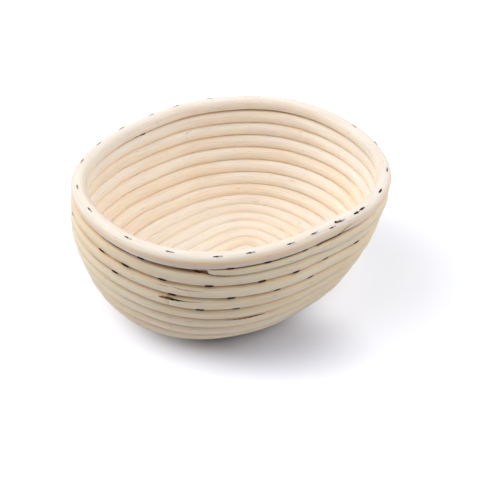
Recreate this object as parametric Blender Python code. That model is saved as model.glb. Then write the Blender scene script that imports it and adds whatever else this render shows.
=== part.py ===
"""Oval proofing basket, wound from peeled rattan cane and held together with wire staples.

The cane starts as a fold in the middle of the base, runs round it turn by turn and climbs
the wall. Its upper end thins out under a separate rim cane, whose ends meet in a scarf.
X runs along the oval, Y across it, and the base stands flat on Z = 0.
"""

import math

import bmesh
import bpy
from mathutils import Matrix, Vector

MM = 0.001

# Cane of the base and the wall
CANE_DIAMETER = 8.3 * MM
TURN_GAP = 0.9 * MM
PITCH = CANE_DIAMETER + TURN_GAP
FOLD_STRAIGHT = 34.6 * MM
FLAT_SHARE = 0.1

# The winding, counted in turns from the rim down to the middle of the base
WOUND_TURNS = 14
CORE_SHARE = 0.9
MIDDLE_TURN = WOUND_TURNS + CORE_SHARE
# Slope of the wall from each turn to the next one down, in degrees from level
WALL_SLOPES = (88, 87, 84, 76, 72, 69, 63, 50, 33, 12, 4, 0)
PROFILE_STEPS = 24
BASE_OFFSET_LONG = 3.3 * MM
BASE_OFFSET_CROSS = 2.0 * MM

# A turn drops to the next one along the front, between these two headings
CLIMB_HEADING = math.radians(-90)
CLIMB_SPREAD = math.radians(230)

# Stations count on from 0 at the front of the right end, and each round of them goes over
# the right end, the back, the left end and the front, a station each
STATIONS = 4
END_STEPS = 11
TIP_SHARE = 0.75
TIP_STATION = TIP_SHARE - 2
SPLICE_ROUND = 2
SPLICE_STEP = 7
SPLICE_STATION = SPLICE_ROUND * STATIONS + 2 + SPLICE_STEP / END_STEPS
SPLICE_GAP = 0.5 * MM

# The middle turns lie a little looser, and the cane starts with a fold
LOOSE_ROUNDS = 2
LOOSE_SHARE = 0.075
FOLD_STATION = WOUND_TURNS * STATIONS - 2
FOLD_DROP_SHARE = 0.5
START_STATION = FOLD_STATION + 2

# Rim cane and its scarf
RIM_DIAMETER = 9.4 * MM
SCARF_GAP = 0.5 * MM
SCARF_ANGLE = math.radians(35)
SCARF_SHARE = 0.75
SCARF_STATION = 3 + SCARF_SHARE

# Staples
CROWN_LENGTH = 4.6 * MM
WIRE_DIAMETER = 1.1 * MM
LEG_LENGTH = 4.0 * MM
STAPLE_CLEARANCE = 0.3 * MM
RIM_SHOULDER = math.radians(50)
RIM_STAPLE_SHARES = (
    0.01, 0.05, 0.13, 0.225, 0.35, 0.44, 0.65, 0.75, 0.885, 0.975, 1.45, 2.04,
    2.135, 2.23, 2.345, 2.445, 2.585, 2.685, 2.785, 2.855, 2.95, 3.105, 3.495, 3.725,
)
# Wall staples by the seam that they lie in, counted in turns from the rim
SEAM_STAPLE_SHARES = {
    0.5: (0.15, 0.4, 0.7, 0.95, 1.6, 2.2, 2.62, 2.81, 2.89, 2.98, 3.65),
    1.5: (0.03, 0.28, 0.55, 0.83, 1.3, 2.1, 2.35, 2.51, 2.58, 2.67, 2.77, 2.88, 2.96, 3.42),
    2.5: (2.55, 2.69, 2.81, 2.92, 3.11),
    3.5: (2.75, 2.83),
}

OVERRUN = 1.0 * MM
WELD_DISTANCE = 0.001 * MM
BEND_ANGLE = math.radians(65)
FOLLOW_SHARES = (0.0, 0.25, 0.5, 0.75)


def clear_scene():
    for thing in list(bpy.data.objects):
        bpy.data.objects.remove(thing, do_unlink=True)


def new_collection(name):
    collection = bpy.data.collections.new(name)
    bpy.context.scene.collection.children.link(collection)
    return collection


def plain_material(name, colour, roughness, metallic):
    material = bpy.data.materials.new(name)
    material.use_nodes = True
    shader = material.node_tree.nodes["Principled BSDF"]
    shader.inputs["Base Color"].default_value = (*colour, 1.0)
    shader.inputs["Roughness"].default_value = roughness
    shader.inputs["Metallic"].default_value = metallic
    return material


def cane_material():
    return plain_material("peeled_rattan", (0.79, 0.62, 0.42), 0.6, 0.0)


def wire_material():
    return plain_material("galvanised_wire", (0.45, 0.45, 0.45), 0.4, 1.0)


def slope_at(turn):
    """Slope of the wall at a turn, which may lie between two turns."""
    place = min(max(turn - 0.5, 0.0), len(WALL_SLOPES) - 1.0)
    lower = min(int(place), len(WALL_SLOPES) - 2)
    share = place - lower
    return math.radians(WALL_SLOPES[lower] * (1 - share) + WALL_SLOPES[lower + 1] * share)


def section_at(turn):
    """Half width and height of the cane's centre line over the middle of the base."""
    steps = max(1, round(abs(MIDDLE_TURN - turn) * PROFILE_STEPS))
    step = (MIDDLE_TURN - turn) / steps
    slopes = [slope_at(turn + (i + 0.5) * step) for i in range(steps)]
    half_width = PITCH * step * sum(math.cos(slope) for slope in slopes)
    height = PITCH * step * sum(math.sin(slope) for slope in slopes)
    return half_width, height


BASE_LINE = (0.5 - FLAT_SHARE) * CANE_DIAMETER
RIM_LINE = section_at(0)[1]


def heading_at(station):
    """Heading of the outward side, and the end of the oval that it turns about."""
    leg, share = divmod(station % STATIONS, 1)
    if leg == 0:
        return math.radians(180 * share - 90), 1.0
    if leg == 1:
        return math.radians(90), 1.0 - 2.0 * share
    if leg == 2:
        return math.radians(180 * share + 90), -1.0
    return math.radians(270), 2.0 * share - 1.0


def climb_at(station):
    """Share of a turn that the winding has dropped by at this station."""
    heading = heading_at(station)[0]
    if station % STATIONS >= 1:
        heading -= math.radians(360)
    place = (heading - CLIMB_HEADING) / (CLIMB_SPREAD / 2)
    place = min(max(place, -1.0), 1.0)
    return 0.5 + 0.5 * math.sin(place * math.pi / 2)


def wall_point(station, turn, lift=0.0):
    """A point of the centre line, with the directions along, out of and up the wall."""
    heading, end = heading_at(station)
    half_width, height = section_at(turn)
    drop = 1.0 - height / RIM_LINE
    out = Vector((math.cos(heading), math.sin(heading), 0.0))
    along = Vector((-math.sin(heading), math.cos(heading), 0.0))
    point = out * half_width
    point.x += end * FOLD_STRAIGHT / 2 - BASE_OFFSET_LONG * drop
    point.y -= BASE_OFFSET_CROSS * drop
    point.z = BASE_LINE + height + lift
    slope = slope_at(turn)
    up = out * math.cos(slope) + Vector((0.0, 0.0, math.sin(slope)))
    return point, along, out * math.sin(slope) - Vector((0.0, 0.0, math.cos(slope))), up


def wound_turn(station):
    """Turn of the winding at a station, which grows without end towards the middle.

    The fold at the middle closes in one half turn, and the cane's start lies in front of it.
    """
    if station > FOLD_STATION:
        drop = FOLD_DROP_SHARE * (1 - math.sin(heading_at(station)[0])) / 2
        return WOUND_TURNS + LOOSE_SHARE + drop
    rounds = math.floor((station + 3) / STATIONS)
    left = (FOLD_STATION - station) / (LOOSE_ROUNDS * STATIONS)
    return rounds + climb_at(station) + LOOSE_SHARE * max(0.0, 1 - left)


def loop_stations(start, end):
    """Stations where the tube has a point: both limits, and the steps of each end."""
    inner = []
    for leg in range(math.floor(start / 2) * 2, math.ceil(end), 2):
        inner += [leg + i / END_STEPS for i in range(END_STEPS + 1)]
    margin = FOLLOW_SHARES[1] / END_STEPS
    return [start] + [s for s in inner if start + margin < s < end - margin] + [end]


def tube(name, points, radii, diameter, closed=False):
    """A round cane through the points, as a mesh with welded caps."""
    curve = bpy.data.curves.new(name, "CURVE")
    curve.dimensions = "3D"
    curve.bevel_depth = diameter / 2
    curve.bevel_resolution = 1
    curve.use_fill_caps = True
    spline = curve.splines.new("POLY")
    spline.points.add(len(points) - 1)
    for knot, point, radius in zip(spline.points, points, radii):
        knot.co = (*point, 1.0)
        knot.radius = radius
    spline.use_cyclic_u = closed
    guide = bpy.data.objects.new(name + "_guide", curve)
    bpy.context.scene.collection.objects.link(guide)
    graph = bpy.context.evaluated_depsgraph_get()
    mesh = bpy.data.meshes.new_from_object(guide.evaluated_get(graph))
    bpy.data.objects.remove(guide, do_unlink=True)
    weld(mesh)
    return mesh


def weld(mesh):
    shape = bmesh.new()
    shape.from_mesh(mesh)
    bmesh.ops.remove_doubles(shape, verts=shape.verts, dist=WELD_DISTANCE)
    bmesh.ops.recalc_face_normals(shape, faces=shape.faces)
    shape.to_mesh(mesh)
    shape.free()


def add_object(name, mesh, material, collection):
    mesh.name = name
    mesh.materials.clear()
    mesh.materials.append(material)
    thing = bpy.data.objects.new(name, mesh)
    collection.objects.link(thing)
    return thing


def shade(thing):
    thing.data.shade_smooth()
    thing.data.set_sharp_from_angle(angle=BEND_ANGLE)


def box(name, size, frame, collection):
    """A block of the given size, in the frame of a 4 by 4 matrix."""
    mesh = bpy.data.meshes.new(name)
    shape = bmesh.new()
    bmesh.ops.create_cube(shape, size=1.0, matrix=Matrix.Diagonal((*size, 1.0)))
    shape.to_mesh(mesh)
    shape.free()
    thing = bpy.data.objects.new(name, mesh)
    thing.matrix_world = frame
    thing.hide_render = True
    thing.display_type = "WIRE"
    collection.objects.link(thing)
    return thing


def frame_of(origin, along, depth):
    """A frame at a point, with X along the cane and Z into the wood."""
    side = depth.cross(along)
    frame = Matrix((along, side, depth)).transposed().to_4x4()
    frame.translation = origin
    return frame


def cut(thing, cutters):
    for cutter in cutters:
        modifier = thing.modifiers.new(cutter.name, "BOOLEAN")
        modifier.operation = "DIFFERENCE"
        modifier.solver = "EXACT"
        modifier.object = cutter


def cut_with_collection(thing, collection):
    modifier = thing.modifiers.new("pockets", "BOOLEAN")
    modifier.operation = "DIFFERENCE"
    modifier.solver = "EXACT"
    modifier.operand_type = "COLLECTION"
    modifier.collection = collection


def winding_points(start, end):
    return [wall_point(s, wound_turn(s))[0] for s in loop_stations(start, end)]


def splice_ends():
    """The two cane ends, which face each other on the step of the winding at the splice."""
    before, after = winding_points(SPLICE_STATION, SPLICE_STATION + 1 / END_STEPS)
    along = (after - before).normalized()
    middle = (before + after) / 2
    return middle - along * SPLICE_GAP / 2, middle + along * SPLICE_GAP / 2


def tip_point(station):
    """Centre and radius share of the last turn's thinned end, between rim and next turn."""
    climb = climb_at(station)
    radius = (PITCH * climb - TURN_GAP) / CANE_DIAMETER
    return wall_point(station, (1.0 + climb) / 2)[0], radius


def upper_cane_route():
    """Points and radius shares from the thinned tip to the splice."""
    points = []
    radii = []
    for station in loop_stations(TIP_STATION, SPLICE_STATION):
        if station < 1:
            point, radius = tip_point(station)
        else:
            point, radius = wall_point(station, wound_turn(station))[0], 1.0
        points.append(point)
        radii.append(radius)
    points.append(splice_ends()[0])
    radii.append(1.0)
    return points, radii


def lower_cane_route():
    """Points from the splice to the cane's start on the front of the core."""
    points = winding_points(SPLICE_STATION + 1 / END_STEPS, START_STATION)
    points.insert(0, splice_ends()[1])
    return points, [1.0] * len(points)


def rim_route():
    """The rim cane's closed route, raised so that it rests on the turn below."""
    lift = (RIM_DIAMETER - CANE_DIAMETER) / 2
    stations = loop_stations(0.0, STATIONS - 1.0)
    return [wall_point(s, 0.0, lift)[0] for s in stations]


def least_gap(points, radii):
    """Least gap of one route to itself, between parts that lie a whole end of it apart."""
    fine = []
    for i in range(len(points) - 1):
        for share in FOLLOW_SHARES:
            place = points[i].lerp(points[i + 1], share)
            fine.append((place, radii[i] * (1 - share) + radii[i + 1] * share, i))
    best = math.inf
    for place, radius, i in fine:
        for other, other_radius, j in fine:
            if j - i > END_STEPS:
                gap = (place - other).length - (radius + other_radius) * CANE_DIAMETER / 2
                best = min(best, gap)
    return best


def staple_mesh():
    """One staple, with its crown along X and its legs down Z from the crown."""
    reach = (CROWN_LENGTH - WIRE_DIAMETER) / 2
    corners = [
        Vector((-reach, 0.0, LEG_LENGTH)),
        Vector((-reach, 0.0, 0.0)),
        Vector((reach, 0.0, 0.0)),
        Vector((reach, 0.0, LEG_LENGTH)),
    ]
    curve = bpy.data.curves.new("staple", "CURVE")
    curve.dimensions = "3D"
    curve.bevel_depth = WIRE_DIAMETER / 2
    curve.bevel_resolution = 0
    curve.use_fill_caps = True
    spline = curve.splines.new("POLY")
    spline.points.add(len(corners) - 1)
    for knot, corner in zip(spline.points, corners):
        knot.co = (*corner, 1.0)
    guide = bpy.data.objects.new("staple_guide", curve)
    bpy.context.scene.collection.objects.link(guide)
    graph = bpy.context.evaluated_depsgraph_get()
    mesh = bpy.data.meshes.new_from_object(guide.evaluated_get(graph))
    bpy.data.objects.remove(guide, do_unlink=True)
    weld(mesh)
    return mesh


def add_staple(name, mesh, frame, material, parts, pockets):
    """A staple in the wood, and the pocket that clears it."""
    thing = bpy.data.objects.new(name, mesh)
    thing.matrix_world = frame
    parts.objects.link(thing)
    if not mesh.materials:
        mesh.materials.append(material)
    room = 2 * STAPLE_CLEARANCE
    above = WIRE_DIAMETER / 2 + OVERRUN
    below = LEG_LENGTH + STAPLE_CLEARANCE
    size = (CROWN_LENGTH + room, WIRE_DIAMETER + room, above + below)
    centre = Matrix.Translation((0.0, 0.0, (below - above) / 2))
    box(name + "_pocket", size, frame @ centre, pockets)


def rim_staple_frame(station):
    """Frame of a staple on the rim's outer shoulder."""
    lift = (RIM_DIAMETER - CANE_DIAMETER) / 2
    point, along, _, _ = wall_point(station, 0.0, lift)
    heading = heading_at(station)[0]
    out = Vector((math.cos(heading), math.sin(heading), 0.0))
    face = out * math.cos(RIM_SHOULDER) + Vector((0.0, 0.0, math.sin(RIM_SHOULDER)))
    seat = point + face * (RIM_DIAMETER - WIRE_DIAMETER) / 2
    return frame_of(seat, along, -face)


def seam_staple_frame(station, seam):
    """Frame of a staple in the groove between two turns, on the outside of the wall."""
    turn = seam
    if seam > 1:
        turn += climb_at(station)
    point, along, out, _ = wall_point(station, turn)
    groove = (CANE_DIAMETER - WIRE_DIAMETER) / 2 - STAPLE_CLEARANCE
    return frame_of(point + out * groove, along, -out)


def scarf_cutter(collection):
    """A thin slanted plate that parts the rim cane's two ends."""
    lift = (RIM_DIAMETER - CANE_DIAMETER) / 2
    point, along, _, _ = wall_point(SCARF_STATION, 0.0, lift)
    length = RIM_DIAMETER / math.sin(SCARF_ANGLE) + RIM_DIAMETER
    size = (length, RIM_DIAMETER + 2 * OVERRUN, SCARF_GAP)
    frame = frame_of(point, along, Vector((0.0, 0.0, -1.0)))
    turned = frame @ Matrix.Rotation(-SCARF_ANGLE, 4, "Y")
    return box("scarf_cutter", size, turned, collection)


def floor_cutter(collection):
    """A block under Z = 0 that gives the base turns their flat."""
    half_width, _ = section_at(0)
    span = 2 * half_width + FOLD_STRAIGHT
    size = (span, span, CANE_DIAMETER)
    place = Matrix.Translation((0.0, 0.0, -CANE_DIAMETER / 2))
    return box("floor_cutter", size, place, collection)


def main():
    clear_scene()
    parts = new_collection("oval_proofing_basket")
    cutters = new_collection("cutters")
    pockets = new_collection("staple_pockets")
    for helper in (cutters, pockets):
        helper.hide_render = True
    cane = cane_material()
    wire = wire_material()

    points, radii = lower_cane_route()
    print("least gap of the lower cane to itself, mm:", round(least_gap(points, radii) / MM, 2))
    lower = add_object("body_cane_lower", tube("lower", points, radii, CANE_DIAMETER), cane, parts)

    points, radii = upper_cane_route()
    print("least gap of the upper cane to itself, mm:", round(least_gap(points, radii) / MM, 2))
    upper = add_object("body_cane_upper", tube("upper", points, radii, CANE_DIAMETER), cane, parts)

    points = rim_route()
    radii = [1.0] * len(points)
    rim = add_object("rim_cane", tube("rim", points, radii, RIM_DIAMETER, True), cane, parts)

    mesh = staple_mesh()
    for i, station in enumerate(RIM_STAPLE_SHARES):
        frame = rim_staple_frame(station)
        add_staple(f"rim_staple_{i + 1:02d}", mesh, frame, wire, parts, pockets)
    count = 0
    for seam, stations in SEAM_STAPLE_SHARES.items():
        for station in stations:
            count += 1
            frame = seam_staple_frame(station, seam)
            add_staple(f"seam_staple_{count:02d}", mesh, frame, wire, parts, pockets)

    cut(lower, [floor_cutter(cutters)])
    cut(rim, [scarf_cutter(cutters)])
    for thing in (lower, upper, rim):
        cut_with_collection(thing, pockets)
        shade(thing)


main()
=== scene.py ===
"""An oval proofing basket of peeled rattan cane, wound in turns and stapled, on a white sweep.

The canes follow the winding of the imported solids, at their full size, so that the turns
touch. Stations count the legs of the oval: 0 to 1 is the right end, 1 to 2 the back, 2 to 3
the left end and 3 to 4 the front. Turns count down the wall from the rim.
"""

import logging
import math
from dataclasses import dataclass, field
from enum import Enum

import bpy
import numpy as np
from bpy.types import Camera, Light, Material, Mesh, Node, NodeSocket, NodeTree, Object
from mathutils import Matrix, Quaternion, Vector

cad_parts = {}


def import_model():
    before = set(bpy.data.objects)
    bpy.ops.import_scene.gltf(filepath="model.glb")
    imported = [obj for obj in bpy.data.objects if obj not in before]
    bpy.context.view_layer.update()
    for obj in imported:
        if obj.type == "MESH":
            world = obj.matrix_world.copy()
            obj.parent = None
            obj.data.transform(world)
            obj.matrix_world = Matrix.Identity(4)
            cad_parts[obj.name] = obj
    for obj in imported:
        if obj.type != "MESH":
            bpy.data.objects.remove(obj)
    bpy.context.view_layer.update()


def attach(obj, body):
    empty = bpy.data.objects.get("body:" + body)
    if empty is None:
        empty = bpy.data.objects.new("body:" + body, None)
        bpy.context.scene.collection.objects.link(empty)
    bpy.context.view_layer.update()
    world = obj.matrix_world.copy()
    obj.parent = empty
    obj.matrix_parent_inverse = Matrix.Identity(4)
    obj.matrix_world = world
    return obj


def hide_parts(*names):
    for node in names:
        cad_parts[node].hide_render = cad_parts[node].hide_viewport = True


Array = np.ndarray
Pair = tuple[float, float]
Row = tuple[float, ...]
LOG = logging.getLogger("proofing_basket")
MM = 0.001
# Inputs 1 to 4 of a RANGE are its from and to ends, and 6 and 7 of a MIX its two colours
MIX, RANGE, VECTOR_MATH = "ShaderNodeMix", "ShaderNodeMapRange", "ShaderNodeVectorMath"
NOISE, COORDINATES = "ShaderNodeTexNoise", "ShaderNodeTexCoord"
WHITE = "FFFFFF"


def linear(hex_colour: str) -> tuple[float, float, float, float]:
    """Turns an sRGB hex colour into linear values.

    Args:
        hex_colour: Six hex digits.

    Returns:
        Linear red, green and blue, with an alpha of 1.
    """
    parts = [int(hex_colour[i : i + 2], 16) / 255 for i in (0, 2, 4)]
    values = [c / 12.92 if c <= 0.04045 else ((c + 0.055) / 1.055) ** 2.4 for c in parts]
    return (values[0], values[1], values[2], 1.0)


def add_node(
    tree: NodeTree,
    kind: str,
    inputs: dict | None = None,
    links: dict | None = None,
    **settings: object,
) -> Node:
    """Adds a node with its settings, input values and incoming links.

    Args:
        tree: The node tree.
        kind: Blender's type name of the node.
        inputs: Input name or index to value.
        links: Input name or index to the socket that feeds it.
        **settings: Properties of the node.

    Returns:
        The new node.
    """
    node = tree.nodes.new(kind)
    for name, value in settings.items():
        setattr(node, name, value)
    for name, value in (inputs or {}).items():
        node.inputs[name].default_value = value
    for name, socket in (links or {}).items():
        tree.links.new(socket, node.inputs[name])
    return node


def new_material(name: str, inputs: dict) -> tuple[Material, Node]:
    """Starts a material with some inputs of its plain shader set.

    Args:
        name: Name of the material.
        inputs: Input name to value.

    Returns:
        The material and its shader.
    """
    material = bpy.data.materials.new(name)
    material.use_nodes = True
    shader = material.node_tree.nodes["Principled BSDF"]
    for key, value in inputs.items():
        shader.inputs[key].default_value = value
    return material, shader


def ripple(x: Array, seed: float, octaves: int = 4) -> Array:
    """A smooth uneven wave between about -1 and 1, the same on each run.

    Args:
        x: Places, one unit apart per longest wave.
        seed: Picks the wave.
        octaves: Number of waves that are summed.

    Returns:
        The wave's height at each place.
    """
    total = np.zeros_like(np.asarray(x, float))
    size = 1.0
    for i in range(octaves):
        rate = 2 * math.pi * (1.0 + 0.83 * i * (1 + 0.17 * math.sin(seed + i)))
        total += size * np.sin(x * rate + seed * 12.9898 * (i + 1) + 4.1 * i * i)
        size *= 0.72
    return total / 2.2


@dataclass(frozen=True)
class PeeledRattan:
    """Rattan with its bark peeled off, which leaves a pale, dry and fibrous core.

    To the eye it is matte cream with fine fibres along the cane, a slow drift towards tan,
    short brown vessel marks, and darker wood where it is bruised or cut. Its stain_and_shade
    attribute also paints shade: darker in the grooves between turns and under the rim, ochre
    on each turn's lower side inside, and browner on the rim's outer face.
    """

    name: str = "peeled_rattan_core"
    pale: str = "FCF1E5"
    tan: str = "F6E5CF"
    # Tint of the outer side, warmer than the inner side's colour
    outer: str = "FCF6E6"
    vessel: str = "B98A55"
    # Where the stain and painted shade are deep: the grooves between turns, the crease under the
    # rim, and the shaved end's browned edges
    bruise_and_shade: str = "5C3E1A"
    # Where the stain and painted shade are slight, outside and inside
    ochre: str = "C88C34"
    inner_ochre: str = "FFC87A"
    roughness: float = 0.62
    # Light that sinks in and comes back warmer
    glow: float = 0.35
    glow_depth: float = 1.5 * MM
    # Length, width and detail of the fibre bundles, of the drift and of the vessel marks.
    # The bundles are about 0.1 mm wide, drawn at 0.5 mm so that they show.
    streaks: tuple[Row, ...] = (
        (26 * MM, 0.5 * MM, 3.0), (95 * MM, 9 * MM, 2.0), (9 * MM, 0.7 * MM, 1.0),
    )
    # Depth in the cane over which the inner side's finish turns into the outer side's
    side_blend: float = 1.5 * MM
    bump_height: float = 0.12 * MM

    def material(self) -> Material:
        """Builds the finish from each point's place in the straightened cane.

        Returns:
            The material.
        """
        plain = {
            "Roughness": self.roughness,
            "IOR": 1.45,
            "Specular IOR Level": 0.3,
            "Subsurface Weight": self.glow,
            "Subsurface Scale": self.glow_depth,
            "Subsurface Radius": (1.0, 0.6, 0.3),
        }
        material, shader = new_material(self.name, plain)
        tree = material.node_tree
        grain = add_node(tree, "ShaderNodeAttribute", attribute_name="grain").outputs["Vector"]
        stain_and_shade = add_node(tree, "ShaderNodeAttribute", attribute_name="stain_and_shade").outputs["Fac"]
        noises = []
        for length, width, detail in self.streaks:
            scale = {1: (1 / length, 1 / width, 1 / width)}
            place = add_node(tree, VECTOR_MATH, scale, {0: grain}, operation="MULTIPLY")
            look = {"Scale": 1.0, "Detail": detail, "Roughness": 0.55}
            noises.append(add_node(tree, NOISE, look, {"Vector": place.outputs[0]}).outputs["Fac"])
        fibres, drift, vessels = noises
        drift_share = add_node(
            tree, RANGE, {1: 0.38, 2: 0.66, 4: 0.75}, {0: drift}, interpolation_type="SMOOTHSTEP"
        )
        colours = {6: linear(self.pale), 7: linear(self.tan)}
        tone = add_node(tree, MIX, colours, {0: drift_share.outputs[0]}, data_type="RGBA")
        fibre_share = add_node(tree, RANGE, {1: 0.35, 2: 0.75, 3: 1.06, 4: 0.90}, {0: fibres})
        height = add_node(tree, "ShaderNodeSeparateXYZ", {}, {0: grain}).outputs["Y"]
        blend = {1: -self.side_blend, 2: self.side_blend}
        outer_share = add_node(tree, RANGE, blend, {0: height}).outputs[0]
        colours = {6: linear(WHITE), 7: linear(self.outer)}
        tint = add_node(tree, MIX, colours, {0: outer_share}, data_type="RGBA")
        wood = tone.outputs[2]
        for factor in (tint.outputs[2], fibre_share.outputs[0]):
            links = {0: wood, 1: factor}
            wood = add_node(tree, VECTOR_MATH, {}, links, operation="MULTIPLY").outputs[0]
        marks = {1: 0.70, 2: 0.78, 3: 0.0, 4: 0.45}
        vessel_share = add_node(tree, RANGE, marks, {0: vessels}, interpolation_type="SMOOTHSTEP")
        links = {0: vessel_share.outputs[0], 6: wood}
        marked = add_node(tree, MIX, {7: linear(self.vessel)}, links, data_type="RGBA")
        # Real stains and painted shade of grooves and creases: ochre where slight, dark brown where
        # deep
        deep_share = add_node(tree, RANGE, {1: 0.45, 2: 0.95}, {0: stain_and_shade})
        colours = {6: linear(self.inner_ochre), 7: linear(self.ochre)}
        slight = add_node(tree, MIX, colours, {0: outer_share}, data_type="RGBA")
        links = {0: deep_share.outputs[0], 6: slight.outputs[2]}
        bruise_and_shade = add_node(tree, MIX, {7: linear(self.bruise_and_shade)}, links, data_type="RGBA")
        links = {0: stain_and_shade, 6: marked.outputs[2], 7: bruise_and_shade.outputs[2]}
        stained_and_shaded = add_node(tree, MIX, {}, links, data_type="RGBA")
        relief = {"Strength": 0.35, "Distance": self.bump_height}
        bump = add_node(tree, "ShaderNodeBump", relief, {"Height": fibres})
        tree.links.new(stained_and_shaded.outputs[2], shader.inputs["Base Color"])
        tree.links.new(bump.outputs[0], shader.inputs["Normal"])
        return material


@dataclass(frozen=True)
class GalvanisedWire:
    """Zinc-coated staple wire, drawn and dull, which shows as a grey line with soft glints."""

    name: str = "galvanised_staple_wire"
    colour: str = "A3A09B"
    roughness: Pair = (0.28, 0.53)
    # Spangle of the zinc, about 1.5 mm across
    spangle: float = 1.5 * MM

    def material(self) -> Material:
        """Builds the wire's finish.

        Returns:
            The material.
        """
        plain = {"Base Color": linear(self.colour), "Metallic": 1.0}
        material, shader = new_material(self.name, plain)
        tree = material.node_tree
        links = {"Vector": add_node(tree, COORDINATES).outputs["Object"]}
        noise = add_node(tree, NOISE, {"Scale": 1 / self.spangle, "Detail": 2.0}, links)
        reach = {3: self.roughness[0], 4: self.roughness[1]}
        rough = add_node(tree, RANGE, reach, {0: noise.outputs["Fac"]})
        tree.links.new(rough.outputs[0], shader.inputs["Roughness"])
        return material


@dataclass(frozen=True)
class BruiseAndShadePith:
    """Crushed rattan round a driven staple, near black where the fibres are torn and dirty.

    The near black also paints the shade in staple hollows and in a gap and a hollow of the canes.
    """

    name: str = "bruised_and_shaded_pith"
    dark: str = "2A1D12"
    brown: str = "6B4526"
    # Torn fibre ends, about 0.6 mm apart
    fibre: float = 0.6 * MM

    def material(self) -> Material:
        """Builds the bruise's finish.

        Returns:
            The material.
        """
        plain = {"Roughness": 0.85, "Specular IOR Level": 0.2}
        material, shader = new_material(self.name, plain)
        tree = material.node_tree
        links = {"Vector": add_node(tree, COORDINATES).outputs["Object"]}
        noise = add_node(tree, NOISE, {"Scale": 1 / self.fibre, "Detail": 2.0}, links)
        share = add_node(tree, RANGE, {1: 0.45, 2: 0.75}, {0: noise.outputs["Fac"]})
        colours = {6: linear(self.dark), 7: linear(self.brown)}
        colour = add_node(tree, MIX, colours, {0: share.outputs[0]}, data_type="RGBA")
        tree.links.new(colour.outputs[2], shader.inputs["Base Color"])
        return material


def seen_rays(tree: NodeTree) -> NodeSocket:
    """One for rays from the camera, in gloss and through glass, and nought for diffuse light.

    Args:
        tree: The node tree.

    Returns:
        The socket that gives it.
    """
    path = add_node(tree, "ShaderNodeLightPath")
    either = path.outputs["Is Camera Ray"]
    for name in ("Is Glossy Ray", "Is Transmission Ray"):
        links = {0: either, 1: path.outputs[name]}
        either = add_node(tree, "ShaderNodeMath", {}, links, operation="MAXIMUM").outputs[0]
    return either


@dataclass(frozen=True)
class PaperSweep:
    """White photographic paper, matte, which takes a soft shadow and shows white elsewhere."""

    name: str = "white_paper_sweep"
    colour: str = "DDDFE9"
    # Share of white that only the camera sees, none in the shadow and all of it farther out
    lift: float = 0.42
    shadow_centre: Row = (-35 * MM, -57 * MM, 0.0)
    shadow_bearing: float = -49.9
    shadow_half: Row = (53 * MM, 29.5 * MM, 1.0)
    shadow_reach: Pair = (0.42, 1.70)
    far_reach: Pair = (5.0, 20.0)

    def material(self) -> Material:
        """Builds the paper, a little brighter to the camera than to the basket.

        Returns:
            The material.
        """
        plain = {"Base Color": linear(self.colour), "Roughness": 1.0, "Specular IOR Level": 0.0}
        material, shader = new_material(self.name, plain)
        tree = material.node_tree
        white = add_node(tree, "ShaderNodeEmission", {"Color": linear(WHITE)})
        oval = {
            "Location": self.shadow_centre,
            "Rotation": (0, 0, math.radians(self.shadow_bearing)),
            "Scale": self.shadow_half,
        }
        links = {"Vector": add_node(tree, COORDINATES).outputs["Object"]}
        place = add_node(tree, "ShaderNodeMapping", oval, links, vector_type="TEXTURE")
        away = add_node(tree, VECTOR_MATH, {}, {0: place.outputs[0]}, operation="LENGTH")
        links = {0: away.outputs["Value"]}
        reach = {1: self.shadow_reach[0], 2: self.shadow_reach[1], 3: 0.0, 4: self.lift}
        near = add_node(tree, RANGE, reach, links, interpolation_type="SMOOTHSTEP")
        reach = {1: self.far_reach[0], 2: self.far_reach[1], 3: 0.0, 4: 1 - self.lift}
        far = add_node(tree, RANGE, reach, links)
        links = {0: near.outputs[0], 1: far.outputs[0]}
        share = add_node(tree, "ShaderNodeMath", {}, links, operation="ADD")
        links = {0: seen_rays(tree), 1: share.outputs[0]}
        seen = add_node(tree, "ShaderNodeMath", {}, links, operation="MULTIPLY")
        tree.links.new(seen.outputs[0], white.inputs["Strength"])
        links = {0: shader.outputs[0], 1: white.outputs[0]}
        both = add_node(tree, "ShaderNodeAddShader", {}, links)
        tree.links.new(both.outputs[0], tree.nodes["Material Output"].inputs["Surface"])
        return material


@dataclass(frozen=True)
class Places:
    """Points of a winding, with the directions out of the wall and up the wall."""

    centre: Array
    outward: Array
    upward: Array


def circle(sides: int) -> tuple[Array, Array]:
    """Cosines and sines of evenly spaced angles."""
    angle = np.radians(np.linspace(0, 360, sides, endpoint=False))
    return np.cos(angle), np.sin(angle)


def lengths_along(points: Array) -> Array:
    """Length along a line of points up to each one."""
    steps = np.linalg.norm(np.diff(points, axis=0), axis=1)
    return np.concatenate([[0.0], np.cumsum(steps)])


def unit(vectors: Array) -> Array:
    """The vectors at a length of one."""
    return vectors / np.linalg.norm(vectors, axis=1, keepdims=True)


def rings_round(places: Places, out: Array, up: Array) -> Array:
    """Rings of points from distances outwards and upwards, both by ring and side."""
    return (
        places.centre[:, None, :]
        + out[:, :, None] * places.outward[:, None, :]
        + up[:, :, None] * places.upward[:, None, :]
    )


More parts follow.
